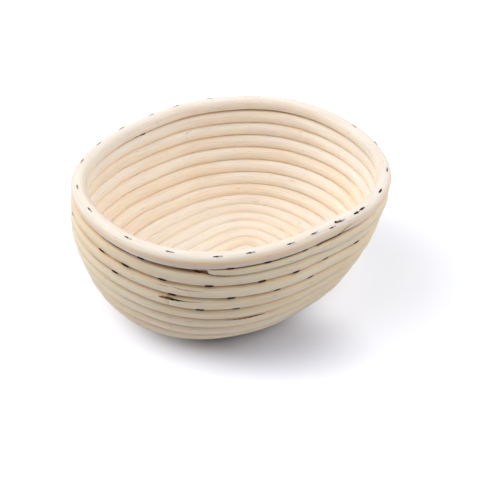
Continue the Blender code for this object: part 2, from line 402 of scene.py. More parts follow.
@dataclass(frozen=True)
class OvalWall:
    """The oval bowl that the cane is wound on, with the small lean of a hand-wound basket."""

    pitch: float = 9.2 * MM
    half_straight: float = 17.3 * MM
    base_line: float = 3.4 * MM
    base_offset: Pair = (3.3 * MM, 2.0 * MM)
    wound_turns: int = 14
    core_share: float = 0.9
    # Slope of the wall from each turn to the next one down, in degrees from level
    slopes: Row = (88, 87, 84, 76, 72, 69, 63, 50, 33, 12, 4, 0)
    climb_heading: float = -90.0
    climb_spread: float = 230.0
    loose_rounds: int = 2
    loose_share: float = 0.075
    fold_drop_share: float = 0.5
    profile_steps: int = 1500
    walk_steps: int = 40000
    # Millimetres that the hand-wound wall stands out of the regular oval: the mean, then
    # cosine and sine of one to six waves round the plan. The rows are the rim, and what the
    # powers of the drop below the rim add.
    hand_shape: tuple[Row, ...] = (
        (-0.80, 0.58, -1.08, 0.06, -0.33, -0.82, -0.08, 0.00, 0.38, 0.31, 0.47, -0.68, 0.18),
        (1.23, -5.07, 1.67, 0.45, -3.82, 2.21, 0.93, 0.50, -1.78, 0.77, -0.04, 0.11, -0.40),
        (-2.09, 3.62, -1.87, 1.51, 4.39, -1.49, -0.62, 0.27, 0.75, -1.08, -0.72, -0.05, -0.30),
        (2.28, 0.94, 2.16, -0.78, 0.11, -1.61, 0.40, 0.44, 0.68, -0.37, 0.11, 0.11, 0.19),
    )
    hand_powers: tuple[int, ...] = (0, 1, 2, 6)
    hand_fade: float = 45 * MM
    profile: dict = field(init=False, default_factory=dict)

    def __post_init__(self) -> None:
        """Works out the wall's profile once."""
        middle = self.wound_turns + self.core_share
        turns = np.linspace(0.0, middle, self.profile_steps)
        slope = np.radians(np.interp(turns - 0.5, range(len(self.slopes)), self.slopes))
        step = self.pitch * (turns[1] - turns[0])
        wide = np.concatenate([np.cumsum((np.cos(slope) * step)[::-1])[::-1][1:], [0.0]])
        high = np.concatenate([np.cumsum((np.sin(slope) * step)[::-1])[::-1][1:], [0.0]])
        self.profile.update(turns=turns, slope=slope, wide=wide, high=high)

    @property
    def fold_station(self) -> float:
        """Station where the winding ends and the fold at the middle begins."""
        return self.wound_turns * 4 - 2

    def heading(self, station: Array) -> tuple[Array, Array]:
        """Heading of the outward side at each station.

        Args:
            station: Stations along the winding.

        Returns:
            The heading in radians and the share of the half straight to its centre.
        """
        leg, share = np.divmod(np.mod(station, 4), 1)
        leg, still = leg.astype(int), 0 * share
        heading = np.choose(leg, [180 * share - 90, 90 + still, 180 * share + 90, 270 + still])
        end = np.choose(leg, [1 + still, 1 - 2 * share, -1 + still, 2 * share - 1])
        return np.radians(heading), end

    def climb(self, station: Array) -> Array:
        """Share of a turn that the winding has dropped by at each station.

        Args:
            station: Stations along the winding.

        Returns:
            The share, from 0 to 1.
        """
        heading = np.degrees(self.heading(station)[0])
        heading = np.where(np.mod(station, 4) >= 1, heading - 360, heading)
        place = np.clip((heading - self.climb_heading) / (self.climb_spread / 2), -1, 1)
        return 0.5 + 0.5 * np.sin(place * math.pi / 2)

    def turn(self, station: Array) -> Array:
        """Turn of the winding at each station, down to the fold at the middle.

        Args:
            station: Stations along the winding.

        Returns:
            The turn, counted from the rim.
        """
        rounds = np.floor((station + 3) / 4)
        left = (self.fold_station - station) / (self.loose_rounds * 4)
        wound = rounds + self.climb(station) + self.loose_share * np.clip(1 - left, 0, None)
        drop = self.fold_drop_share * (1 - np.sin(self.heading(station)[0])) / 2
        folded = self.wound_turns + self.loose_share + drop
        return np.where(station > self.fold_station, folded, wound)

    def places(self, station: Array, turn: Array, lift: float = 0.0) -> Places:
        """Points on the wall.

        Args:
            station: Stations round the oval.
            turn: Turns down the wall, one for each station.
            lift: Height added to each point.

        Returns:
            The points and their directions.
        """
        heading, end = self.heading(station)
        data = self.profile
        keys = ("wide", "high", "slope")
        wide, high, slope = (np.interp(turn, data["turns"], data[key]) for key in keys)
        drop = 1 - high / data["high"][0]
        cos, sin = np.cos(heading), np.sin(heading)
        out = np.stack([cos, sin, 0 * cos], -1)
        bulge = self.bulge(heading, end, drop) * np.clip(wide / self.hand_fade, 0, 1)
        centre = out * (wide + bulge)[:, None]
        centre[:, 0] += end * self.half_straight - self.base_offset[0] * drop
        centre[:, 1] -= self.base_offset[1] * drop
        centre[:, 2] = self.base_line + high + lift
        rise = np.array([0.0, 0.0, 1.0])
        outward = out * np.sin(slope)[:, None] - rise * np.cos(slope)[:, None]
        upward = out * np.cos(slope)[:, None] + rise * np.sin(slope)[:, None]
        return Places(centre, outward, upward)

    def bulge(self, heading: Array, end: Array, drop: Array) -> Array:
        """How far the wall stands out of its regular oval.

        Args:
            heading: Headings in radians.
            end: Shares of the half straight.
            drop: Shares of the height from the rim down to the base.

        Returns:
            The offsets outwards in metres.
        """
        rim = self.profile["wide"][0]
        along = np.cos(heading) * rim + end * self.half_straight
        around = np.arctan2(np.sin(heading) * rim, along)
        offset = np.zeros_like(heading)
        for power, row in zip(self.hand_powers, self.hand_shape):
            wave = row[0] + sum(
                row[2 * i - 1] * np.cos(i * around) + row[2 * i] * np.sin(i * around)
                for i in range(1, len(row) // 2 + 1)
            )
            offset = offset + wave * drop**power
        return offset * MM

    def walk(self, first: float, last: float, step: float) -> Array:
        """Stations about one step apart along the winding.

        Args:
            first: First station.
            last: Last station.
            step: Length of a step in metres.

        Returns:
            The stations, both ends included.
        """
        fine = np.linspace(first, last, self.walk_steps)
        wide = np.interp(self.turn(fine), self.profile["turns"], self.profile["wide"])
        at_end = np.mod(np.floor(fine), 2) == 0
        rate = np.where(at_end, math.pi * np.maximum(wide, 2 * MM), 2 * self.half_straight)
        length = np.concatenate([[0.0], np.cumsum((rate[1:] + rate[:-1]) / 2 * np.diff(fine))])
        count = max(2, round(length[-1] / step))
        return np.interp(np.linspace(0, length[-1], count + 1), length, fine)


def tube(rings: Array, closed: bool = False) -> tuple[Array, list[list[int]]]:
    """A tube through rings of points, with its ends capped.

    Args:
        rings: Points by ring, side and axis.
        closed: Whether the last ring joins the first.

    Returns:
        Its points and faces.
    """
    count, sides = rings.shape[:2]
    points = rings.reshape(-1, 3)
    spans = count if closed else count - 1
    ring, side = np.meshgrid(np.arange(spans), np.arange(sides), indexing="ij")
    after, beside = (ring + 1) % count, (side + 1) % sides
    near, far = ring * sides, after * sides
    corners = [near + side, far + side, far + beside, near + beside]
    faces = np.stack(corners, -1).reshape(-1, 4).tolist()
    if not closed:
        points = np.concatenate([points, rings[:1].mean(1), rings[-1:].mean(1)])
        start, finish = count * sides, count * sides + 1
        last = (count - 1) * sides
        for i in range(sides):
            j = (i + 1) % sides
            faces += [[start, i, j], [finish, last + j, last + i]]
    return points, faces


def cane_mesh(
    name: str, rings: Array, lengths: Array, stain_and_shade: Array | None = None, closed: bool = False
) -> Mesh:
    """The mesh of a cane, with each point's place in the straightened cane as "grain".

    Args:
        name: Name of the mesh.
        rings: Points by ring, side and axis.
        lengths: Length along the cane at each ring.
        stain_and_shade: Stain and painted shade of each point, by ring and side, for a cane with
            them.
        closed: Whether the last ring joins the first.

    Returns:
        The mesh.
    """
    points, faces = tube(rings, closed)
    mesh = bpy.data.meshes.new(name)
    mesh.from_pydata(points.tolist(), [], faces)
    centre = rings.mean(1, keepdims=True)
    radius = np.linalg.norm(rings - centre, axis=2)
    cos, sin = circle(rings.shape[1])
    along = np.broadcast_to(lengths[:, None], radius.shape)
    place = np.stack([along, radius * cos, radius * sin], -1).reshape(-1, 3)
    if not closed:
        place = np.concatenate([place, [[lengths[0], 0, 0], [lengths[-1], 0, 0]]])
    grain = mesh.attributes.new("grain", "FLOAT_VECTOR", "POINT")
    grain.data.foreach_set("vector", place.astype(np.float32).ravel())
    if stain_and_shade is not None:
        values = stain_and_shade.reshape(-1)
        if not closed:
            values = np.concatenate([values, [stain_and_shade[0].mean(), stain_and_shade[-1].mean()]])
        layer = mesh.attributes.new("stain_and_shade", "FLOAT", "POINT")
        layer.data.foreach_set("value", np.clip(values, 0, 1).astype(np.float32))
    mesh.shade_smooth()
    return mesh


def new_object(name: str, data: Mesh | Light | Camera) -> Object:
    """Puts an object with the given data into the scene.

    Args:
        name: Name of the object.
        data: Its data.

    Returns:
        The object.
    """
    thing = bpy.data.objects.new(name, data)
    bpy.context.scene.collection.objects.link(thing)
    return thing


def add_piece(name: str, mesh: Mesh, materials: list, nodes: list[str]) -> Object:
    """Adds a piece that rides on the basket and stands for solids.

    Args:
        name: Name of the piece.
        mesh: Its mesh.
        materials: Its materials in slot order.
        nodes: The solids that it stands for.

    Returns:
        The piece.
    """
    piece = new_object(name, mesh)
    for material in materials:
        mesh.materials.append(material)
    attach(piece, "root")
    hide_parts(*nodes)
    LOG.info("%s: %d faces", name, len(mesh.polygons))
    return piece


@dataclass(frozen=True)
class Section:
    """The cane's turn, its offset out of the wall and its half widths out and up."""

    turn: Array
    offset: Array
    half_out: Array
    half_up: Array


@dataclass
class WoundCane:
    """A length of the body's cane, wound round the wall from one station to another."""

    wall: OvalWall
    name: str
    node: str
    first: float
    last: float
    radius: float = 4.63 * MM
    # Neighbours are pressed together, and more so inside, where the grooves are shallow
    half_height: float = 4.66 * MM
    inner_press: float = 0.35 * MM
    step: float = 2.2 * MM
    sides: int = 28
    seed: float = 1.0
    unevenness: float = 0.07 * MM
    wander: float = 0.10 * MM
    # Brown seam line along each groove, with painted shade of the crease, outside and inside
    seam_line_and_shade: float = 1.0
    inner_line_and_shade: float = 0.52
    # Painted warm shade, ochre towards each turn's lower side inside, and how little of the
    # seam's line and shade the bottom has
    inner_painted_shade: float = 0.60
    bottom_shade_share: float = 0.25
    # Where the seam's line and painted shade begin and over what they grow, as sines: above,
    # below and inside
    line_and_shade_edges: Row = (0.80, 0.88, 0.78)
    line_and_shade_widths: Row = (0.15, 0.10, 0.18)
    # The same for the worn lower and upper edges
    worn_edges: Pair = (0.58, 0.60)
    worn_widths: Pair = (0.20, 0.25)
    fleck_share: float = 0.35
    # Longest waves of the unevenness, the wander and the flecks
    wave_lengths: Row = (120 * MM, 75 * MM, 60 * MM)

    def section(self, station: Array) -> Section:
        """The cane's section at each station."""
        turn, still = self.wall.turn(station), 0 * station
        return Section(turn, still, still + self.radius, still + self.half_height)

    def worn(self, station: Array) -> tuple[Array, Array]:
        """How browned the cane's lower and upper outer edges are at each station."""
        return 0 * station, 0 * station

    def build(self, rattan: Material) -> Object:
        """Builds the cane.

        Args:
            rattan: The cane's material.

        Returns:
            The piece.
        """
        station = self.wall.walk(self.first, self.last, self.step)
        section = self.section(station)
        places = self.wall.places(station, section.turn)
        length = lengths_along(places.centre)
        cos, sin = (part[None, :] for part in circle(self.sides))
        swell, drift, fleck = (
            ripple(length / wave, self.seed + more)
            for wave, more in zip(self.wave_lengths, (0, 3, 5))
        )
        swell, drift = self.unevenness * swell, self.wander * drift
        edge, width = (
            np.where(cos > 0, np.where(sin > 0, above, below), inside)
            for above, below, inside in (self.line_and_shade_edges, self.line_and_shade_widths)
        )
        # The seam's brown line and painted shade of the crease, reaching farther onto each turn's
        # upper side, under the turn above
        seam = np.clip((np.abs(sin) - edge) / width, 0, 1) ** 2
        # Painted ochre shade on each turn's lower side inside, and less line and shade inside where
        # the wall lies level
        seam += np.where((cos < 0) & (sin < 0), self.inner_painted_shade * sin**2, 0)
        upright = np.clip(places.upward[:, 2:3], 0, 1) ** 2
        seam = seam * np.where(cos > 0, 1, self.bottom_shade_share + (1 - self.bottom_shade_share) * upright)
        fleck = 1 - self.fleck_share + self.fleck_share * fleck
        line_and_shade = np.where(cos > 0, self.seam_line_and_shade, self.inner_line_and_shade)
        stain_and_shade = line_and_shade * seam * fleck[:, None]
        sides = zip(self.worn(station), (-sin, sin), self.worn_edges, self.worn_widths)
        for worn, height, edge, width in sides:
            stain_and_shade += worn[:, None] * np.clip((height - edge) / width, 0, 1) * (cos > 0)
        out = (section.half_out + swell)[:, None] * cos + (section.offset + drift)[:, None]
        up = (section.half_up + swell)[:, None] * sin
        up += self.inner_press * sin * np.clip(-4 * cos, 0, 1)
        rings = rings_round(places, out, up)
        rings[:, :, 2] = np.maximum(rings[:, :, 2], 0.0)
        mesh = cane_mesh(self.name, rings, length + self.seed, stain_and_shade)
        return add_piece(self.name, mesh, [rattan], [self.node])


@dataclass
class TaperedCane(WoundCane):
    """The upper cane, whose shaved end lies over the turn below and dies out under the rim."""

    # Visible height of the shaved end in turns, at stations from its tip
    taper: tuple[Pair, ...] = (
        (-1.243, 0.10), (-1.234, 0.17), (-1.22, 0.25), (-1.20, 0.33), (-1.17, 0.40),
        (-1.10, 0.44), (-1.03, 0.50), (-0.9, 0.58), (-0.6, 0.74), (-0.1, 0.88), (0.2, 0.95),
        (0.45, 0.99), (0.64, 1.0),
    )
    tuck_share: float = 0.18
    proud: float = 0.75 * MM
    thinnest: float = 1.1 * MM
    # Share of its height that the thinnest part is thick
    flat_share: float = 0.55
    # Heights over which it comes to lie over the turn below, and rises out of the groove
    over_run: float = 0.25
    rise_run: float = 0.08
    # Where its edges begin to brown and over how many stations, and the same for the tip
    worn_from: Pair = (0.45, 0.90)
    tip_place: Pair = (-1.22, 0.03)
    low_stain: float = 0.85
    tip_stain: float = 0.15
    top_stain: float = 0.46

    def section(self, station: Array) -> Section:
        """The plain cane's section, and the shaved one near the tip.

        Args:
            station: Stations of the rings.

        Returns:
            The section at each station.
        """
        plain = super().section(station)
        shaved = station < self.taper[-1][0]
        height = np.interp(station, *zip(*self.taper))
        low = 0.5 + height
        top = 0.5 - self.tuck_share * np.minimum(1, 3 * (1 - height))
        tall = (low - top) / 2 * self.wall.pitch + (self.half_height - self.wall.pitch / 2)
        thick = tall * (self.flat_share + (1 - self.flat_share) * height**3)
        thick = np.maximum(self.thinnest, thick)
        over = np.clip((height - self.wall.climb(station)) / self.over_run, 0, 1)
        reach = self.radius + self.proud * over
        # The tip's last part is pushed into the groove under the rim
        seen = np.clip((height - self.taper[0][1]) / self.rise_run, 0, 1)
        return Section(
            np.where(shaved, (low + top) / 2, plain.turn),
            np.where(shaved, (reach - thick) * seen, plain.offset),
            np.where(shaved, thick, plain.half_out),
            np.where(shaved, tall, plain.half_up),
        )

    def worn(self, station: Array) -> tuple[Array, Array]:
        """How browned the shaved end's lower and upper edges are.

        Args:
            station: Stations of the rings.

        Returns:
            The stain of the lower edge and of the upper one.
        """
        shaved = np.clip((self.worn_from[0] - station) / self.worn_from[1], 0, 1)
        tip = np.exp(-(((station - self.tip_place[0]) / self.tip_place[1]) ** 2))
        return self.low_stain * shaved + self.tip_stain * tip, self.top_stain * shaved**2


@dataclass
class TuckedTail(WoundCane):
    """The upper cane's hidden end, which fills the groove that opens under the rim."""

    top_turn: float = 0.30
    overlap: float = 0.10
    half_depth: float = 2.0 * MM
    inset: float = 1.3 * MM

    def section(self, station: Array) -> Section:
        """A thin section from inside the rim to inside the turn below.

        Args:
            station: Stations of the rings.

        Returns:
            The section at each station.
        """
        still = 0 * station
        low = 0.5 + self.wall.climb(station) + self.overlap
        middle, tall = (low + self.top_turn) / 2, (low - self.top_turn) / 2 * self.wall.pitch
        return Section(middle, still - self.inset, still + self.half_depth, tall)


@dataclass
class RimCane:
    """The rim's own cane, one ring whose two cut ends meet in a slanted scarf at the front."""

    wall: OvalWall
    name: str = "rim_ring_cane"
    node: str = "rim_cane"
    radius: float = 4.88 * MM
    lift: float = 0.3 * MM
    sides: int = 64
    seed: float = 9.0
    # The cut tongue at the front: edges as stations and degrees round the cane, and its lift
    tongue_low: tuple[Pair, ...] = (
        (3.16, -50), (3.35, -48), (3.544, -41), (3.63, -18), (3.727, 1), (3.80, 7), (3.89, 13),
    )
    tongue_top: tuple[Pair, ...] = (
        (3.50, 95), (3.59, 71), (3.68, 59), (3.78, 27), (3.89, 13),
    )
    tongue_lift: float = 0.12 * MM
    # Where the tongue begins to lift and over how many stations, and the degrees of its edge
    tongue_start: Pair = (3.1, 0.4)
    tongue_edge: float = 6.0
    unevenness: float = 0.06 * MM
    waves: int = 5
    # Painted shade browns the rim's outer face: how much, and its middle and width in degrees
    face_painted_shade: float = 0.38
    face_shade_band: Pair = (14, 20)
    # Painted shade in the crease below, outside and inside, with the sine where it begins and
    # over what it grows
    under_crease_shade: Pair = (0.9, 0.8)
    under_shade_edge: Pair = (0.66, 0.24)

    def build(self, rattan: Material) -> Object:
        """Builds the ring.

        Args:
            rattan: The cane's material.

        Returns:
            The piece.
        """
        round_once = np.linspace(0.0, 4.0, 4001)[:-1]
        front = round_once > 3.0
        station = np.unique(np.concatenate([round_once[~front][::8], round_once[front][::6]]))
        places = self.wall.places(station, 0 * station, self.lift)
        length = lengths_along(places.centre)
        degrees = np.linspace(-180, 180, self.sides, endpoint=False)[None, :]
        cos, sin = np.cos(np.radians(degrees)), np.sin(np.radians(degrees))
        wave = np.sin(2 * math.pi * self.waves * length / length[-1] + 1.0)
        low = np.interp(station, *zip(*self.tongue_low), left=-999, right=999)
        top = np.interp(station, *zip(*self.tongue_top), left=180, right=-999)
        edge = np.minimum(degrees - low[:, None], top[:, None] - degrees)
        start, run = self.tongue_start
        fade = np.clip((station - start) / run, 0, 1) ** 2 * (station < self.tongue_low[-1][0])
        lift = self.tongue_lift * np.clip(edge / self.tongue_edge, 0, 1) * fade[:, None]
        radius = (self.radius + self.unevenness * wave)[:, None] + lift
        # Painted shade in the crease under the rim
        under = np.clip((-sin - self.under_shade_edge[0]) / self.under_shade_edge[1], 0, 1) ** 2
        # Painted shade on the rim's outer face
        middle, width = self.face_shade_band
        face = self.face_painted_shade * np.exp(-(((degrees - middle) / width) ** 2))
        stain_and_shade = np.where(cos > 0, *self.under_crease_shade) * under + face + 0 * radius
        rings = rings_round(places, radius * cos, radius * sin)
        mesh = cane_mesh(self.name, rings, length + self.seed, stain_and_shade, closed=True)
        return add_piece(self.name, mesh, [rattan], [self.node])


@dataclass(frozen=True)
class Tear:
    """A torn, cut or browned line in a cane, or near-black painted shade in a gap or hollow.

    The turn is that of the cane's centre before its climb. Each point of the path has a
    station, degrees round the cane from its outer side upwards, and half the width in mm.
    """

    name: str
    turn: float
    path: tuple[Row, ...]
    node: str = "body_cane_upper"
    black: bool = True
    inside: bool = False
    # How far it stands out of the cane, for a torn end that lies on top
    proud: float = 0.02 * MM
    # How much less it stands out at its last point
    sink: float = 0.0


@dataclass
class Tears:
    """The torn, cut and browned lines that the photograph shows, laid on the canes."""

    wall: OvalWall
    rim: RimCane
    cane_radius: float = 4.63 * MM
    step: float = 0.3 * MM
    depth: float = 0.16 * MM
    sides: int = 8
    # How ragged the edges are, how many degrees a line wanders per mm of half width, and
    # the longest waves of both
    ragged_share: float = 0.3
    wander: float = 4.0
    wave_lengths: Pair = (3.5 * MM, 5 * MM)
    end_half: float = 0.02 * MM
    tears: tuple[Tear, ...] = (
        Tear("splice_cut_end", 3, black=False, path=(
            (2.657, 38, 0.2), (2.664, 37, 0.55), (2.672, 39, 0.75), (2.681, 42, 0.7),
            (2.69, 44, 0.25),
        )),
        # A near-black lens of painted shadow in the gap at the butt joint
        Tear("splice_gap", 3, node="body_cane_lower", proud=0.06 * MM, path=(
            (2.672, 41, 0.15), (2.681, 38, 0.45), (2.69, 37, 0.65), (2.701, 38, 0.45),
            (2.718, 38, 0.12),
        )),
        Tear("splice_split", 3, node="body_cane_lower", black=False, path=(
            (2.708, 38, 0.2), (2.7275, 39, 0.13), (2.745, 41, 0.09), (2.755, 43, 0.04),
        )),
        Tear("scratch_on_second_turn", 2, black=False, path=(
            (2.69, 40, 0.04), (2.7, 35, 0.1), (2.713, 29, 0.13), (2.738, 29, 0.1),
            (2.757, 27, 0.04),
        )),
        Tear("browned_seam", 5, node="body_cane_lower", black=False, path=(
            (2.806, 52, 0.1), (2.82, 50.5, 0.18), (2.85, 48, 0.34), (2.87, 49, 0.38),
            (2.892, 50, 0.26), (2.912, 49, 0.1),
        )),
        Tear("torn_tip", 1, black=False, proud=0.55 * MM, path=(
            (2.732, 78, 0.2), (2.737, 76, 0.6), (2.743, 75, 0.75), (2.75, 74, 0.6),
            (2.756, 73, 0.25),
        )),
        # A near-black lens of painted shade in the hollow under the torn tip
        Tear("torn_tip_hollow", 1, proud=0.62 * MM, path=(
            (2.735, 76, 0.15), (2.739, 74, 0.35), (2.744, 73, 0.4), (2.749, 74, 0.2),
        )),
        Tear("tip_lower_edge", 1, black=False, proud=0.1 * MM, path=(
            (2.752, 72, 0.3), (2.7635, 66, 0.28), (2.774, 57, 0.26), (2.793, 49, 0.18),
            (2.81, 48, 0.08),
        )),
        Tear("scarf_browned_end", 0, node="rim_cane", black=False, proud=0.14 * MM, path=(
            (3.575, 72, 0.4), (3.61, 69, 0.7), (3.65, 68, 0.6), (3.7, 70, 0.3),
        )),
        Tear("scarf_knot", 0, node="rim_cane", proud=0.2 * MM, path=(
            (3.555, 74, 0.3), (3.575, 73, 0.8), (3.595, 72, 0.7), (3.615, 71, 0.25),
        )),
        Tear("scarf_low_edge", 0, node="rim_cane", black=False, proud=0.1 * MM, path=(
            (3.14, -33, 0.3), (3.25, -34, 0.45), (3.4, -35, 0.45), (3.544, -32, 0.45),
            (3.64, -20, 0.35), (3.727, -3, 0.25), (3.8, 7, 0.16), (3.89, 13, 0.08),
        )),
        Tear("scarf_shadowed_lip", 0.25, black=False, proud=0.64 * MM, sink=0.86 * MM, path=(
            (3.12, 42, 0.25), (3.161, 43, 0.45), (3.299, 44, 0.36), (3.444, 45, 0.4),
            (3.59, 45, 0.34), (3.71, 46, 0.1),
        )),
        Tear("knot_hole_inside", 1, inside=True, proud=0.22 * MM, path=(
            (1.74, 66, 0.15), (1.78, 67, 0.5), (1.83, 68, 0.75), (1.88, 69, 0.45), (1.92, 70, 0.2),
        )),
        Tear("knot_tail_inside", 1, black=False, inside=True, proud=0.22 * MM, path=(
            (1.88, 68, 0.2), (1.95, 66, 0.2), (2.003, 66, 0.25), (2.012, 66, 0.1),
        )),
    )

    def on_cane(self, tear: Tear, rows: Array, down: float | Array) -> Array:
        """Points on or in the cane that a line lies on.

        Args:
            tear: The line.
            rows: Stations and degrees.
            down: Depth below the cane's surface.

        Returns:
            The points.
        """
        station, degrees = rows[:, 0], rows[:, 1]
        on_rim = tear.node == self.rim.node
        climb = 0 * station if on_rim or tear.inside else self.wall.climb(station)
        places = self.wall.places(station, tear.turn + climb, self.rim.lift if on_rim else 0.0)
        turned = np.radians(180 - degrees if tear.inside else degrees)[:, None]
        face = np.cos(turned) * places.outward + np.sin(turned) * places.upward
        radius = self.rim.radius if on_rim else self.cane_radius
        return places.centre + (radius - down) * face

    def build_one(self, tear: Tear, material: Material) -> Object:
        """Builds one line as a ragged flat lens on the cane's surface.

        Args:
            tear: The line.
            material: The black bruise and painted shade, or the brown one.

        Returns:
            The piece.
        """
        path = np.array(tear.path)
        far = lengths_along(self.on_cane(tear, path, 0.0))
        fine = np.linspace(0, far[-1], max(6, round(far[-1] / self.step)))
        rows = np.stack([np.interp(fine, far, path[:, i]) for i in range(3)], -1)
        seed = 3.7 * len(tear.name) + tear.path[0][0]
        edge_wave, line_wave = self.wave_lengths
        half = rows[:, 2] * MM * (1 + self.ragged_share * ripple(fine / edge_wave, seed, 3))
        rows[:, 1] += self.wander * rows[:, 2] * ripple(fine / line_wave, seed + 2, 2)
        down = np.interp(fine, (0, far[-1]), (0, tear.sink)) - tear.proud
        middle = self.on_cane(tear, rows, down[:, None])
        normal = unit(middle - self.on_cane(tear, rows, 1.0 * MM))
        across = unit(np.cross(normal, np.gradient(middle, axis=0)))
        half[0] = half[-1] = self.end_half
        deep = np.minimum(self.depth, 0.5 * half)
        cos, sin = circle(self.sides)
        half, deep = half[:, None], deep[:, None]
        rings = rings_round(Places(middle, across, normal), half * cos, deep * sin)
        mesh = cane_mesh(tear.name, rings, fine)
        return add_piece(tear.name, mesh, [material], [tear.node])

    def build(self, black: Material, brown: Material) -> None:
        """Builds all the lines, with the darkest bruise and painted shade, and the browned wood."""
        for tear in self.tears:
            self.build_one(tear, black if tear.black else brown)


class Seat(Enum):
    """Where a staple is driven."""

    RIM_SHOULDER = "rim_shoulder"
    WALL_GROOVE = "wall_groove"


@dataclass(frozen=True)
class Staple:
    """One staple: the solid that it stands for, its seat and its station.

    The height is in degrees up the rim, or the seam's turn for a staple in a groove.
    """

    node: str
    seat: Seat
    station: float
    height: float


@dataclass
class Staples:
    """The wire staples, each sunk in a small dark lens of bruised cane and painted shade."""

    wall: OvalWall
    rim: RimCane
    crown: float = 4.8 * MM
    wire: float = 0.65 * MM
    leg: float = 4.0 * MM
    rim_sink: float = 0.02 * MM
    wire_sides: int = 12
    # Radius of the bends, rise of the crown's middle and width, in diameters of the wire
    bend: float = 0.55
    arch: float = 0.06
    flattened: float = 1.15
    # On the rim one leg is driven deeper, and shows the dark hollow beside it
    tilt: float = 5.0
    # Half width, half depth, rise and shift of the dark lens, bruise with painted shade, on the rim
    # and in a groove
    rim_dark_lens: Row = (0.44 * MM, 0.33 * MM, 0.0, 0.45 * MM)
    groove_dark_lens: Row = (0.75 * MM, 0.45 * MM, 0.12 * MM, 0.0)
    dark_lens_overhang: float = 0.3 * MM
    raggedness: float = 0.28
    # Stations of staples with a small dark lens, with a large one, and those lenses' sizes
    faint: Row = (2.2, 2.35, 2.984, 3.622, 3.404, 2.923, 3.123, 2.829)
    deep_driven: Row = (0.012, 0.032, 0.122)
    faint_size: float = 0.6
    faint_reach: float = 0.8
    deep_size: float = 1.5
    look_ahead: float = 0.004
    groove_reach: float = 3.75 * MM
    groove_rise: float = 0.19
    # Stations, and degrees up from the rim's outer side
    rim_places: tuple[Pair, ...] = (
        (0.012, 68), (0.032, 72), (0.122, 75), (0.219, 73), (0.348, 58), (0.440, 83),
        (0.652, 48), (0.750, 48), (0.884, 65), (0.989, 85), (1.530, 77), (2.041, 74),
        (2.139, 76), (2.230, 75), (2.346, 80), (2.444, 79), (2.583, 76), (2.684, 75),
        (2.784, 65), (2.854, 67), (2.949, 61), (3.108, 66), (3.483, 51), (3.726, 64),
    )
    seam_shares: tuple[tuple[float, Row], ...] = (
        (0.5, (0.15, 0.4, 0.7, 0.95, 1.6, 2.2, 2.62, 2.808, 2.891, 2.984, 3.622)),
        (1.5, (0.022, 0.28, 0.55, 0.83, 1.3, 2.1, 2.35, 2.505, 2.577, 2.668)),
        (1.5, (2.767, 2.882, 2.967, 3.404)),
        (2.5, (2.545, 2.689, 2.815, 2.923, 3.123)),
        (3.5, (2.749, 2.829)),
    )

    def wire_rings(self) -> Array:
        """Rings of the bent wire, with its crown along X and its legs down -Z.

        Returns:
            The points by ring, side and axis.
        """
        reach = (self.crown - self.wire) / 2
        bend = self.bend * self.wire
        path = [(-reach, 0, -self.leg), (-reach, 0, -self.leg / 2), (-reach, 0, -bend * 1.5)]
        for i in range(5):
            turned = math.pi / 2 * i / 4
            x, z = -reach + bend * (1 - math.cos(turned)), -bend * (1 - math.sin(turned))
            path.append((x, 0, z))
        path.append((-reach / 3, 0, self.arch * self.wire))
        half = np.array(path)
        points = np.concatenate([half, (half * [-1, 1, 1])[::-1]])
        ahead = unit(np.gradient(points, axis=0))
        flat = np.broadcast_to((0.0, 1.0, 0.0), points.shape)
        cos, sin = (self.wire / 2 * part[None, :] for part in circle(self.wire_sides))
        places = Places(points, np.cross(ahead, flat), flat)
        return rings_round(places, cos, self.flattened * sin)[:, ::-1]

    def dark_lens_rings(self, staple: Staple) -> Array:
        """Rings of the crushed hollow under a crown, a ragged dark lens that paints its shade.

        Args:
            staple: The staple, whose station varies the outline.

        Returns:
            The points by ring, side and axis.
        """
        on_rim = staple.seat is Seat.RIM_SHOULDER
        wide, deep, rise, shift = self.rim_dark_lens if on_rim else self.groove_dark_lens
        reach, size = self.crown / 2 + self.dark_lens_overhang, 1.0
        if staple.station in self.faint:
            reach, size = self.faint_reach * reach, self.faint_size
        elif staple.station in self.deep_driven:
            size = self.deep_size
        along = np.linspace(-1, 1, 15)
        full = np.clip(1 - np.abs(along) ** 2.4, 0.02, 1) ** 0.7
        full *= (1 + self.raggedness * ripple(along * 1.3, staple.station * 7)) * size
        cos, sin = circle(self.wire_sides)
        rings = np.zeros((len(along), len(cos), 3))
        rings[:, :, 0] = (along * reach - shift)[:, None]
        rings[:, :, 1] = full[:, None] * wide * cos
        rings[:, :, 2] = full[:, None] * deep * sin + rise
        return rings

    def frame(self, staple: Staple) -> Matrix:
        """Frame of a staple, with X along the cane and Z out of the wood.

        Args:
            staple: The staple.

        Returns:
            The frame.
        """
        station, height = staple.station, staple.height
        at = np.array([station - self.look_ahead, station, station + self.look_ahead])
        if staple.seat is Seat.RIM_SHOULDER:
            places = self.wall.places(at, 0 * at, self.rim.lift)
            turned = math.radians(height)
            face = places.outward[1] * math.cos(turned) + places.upward[1] * math.sin(turned)
            origin = places.centre[1] + face * (self.rim.radius - self.rim_sink)
        else:
            # The seam under the rim is level with it, and the seams below drop by a turn
            turn = height - self.groove_rise + (self.wall.climb(at) if height > 1 else 0 * at)
            places = self.wall.places(at, turn)
            face = places.outward[1]
            origin = places.centre[1] + face * self.groove_reach
        ahead = Vector(places.centre[2] - places.centre[0]).normalized()
        across = Vector(face).cross(ahead).normalized()
        matrix = Matrix((ahead, across, ahead.cross(across))).transposed().to_4x4()
        matrix.translation = Vector(origin)
        return matrix

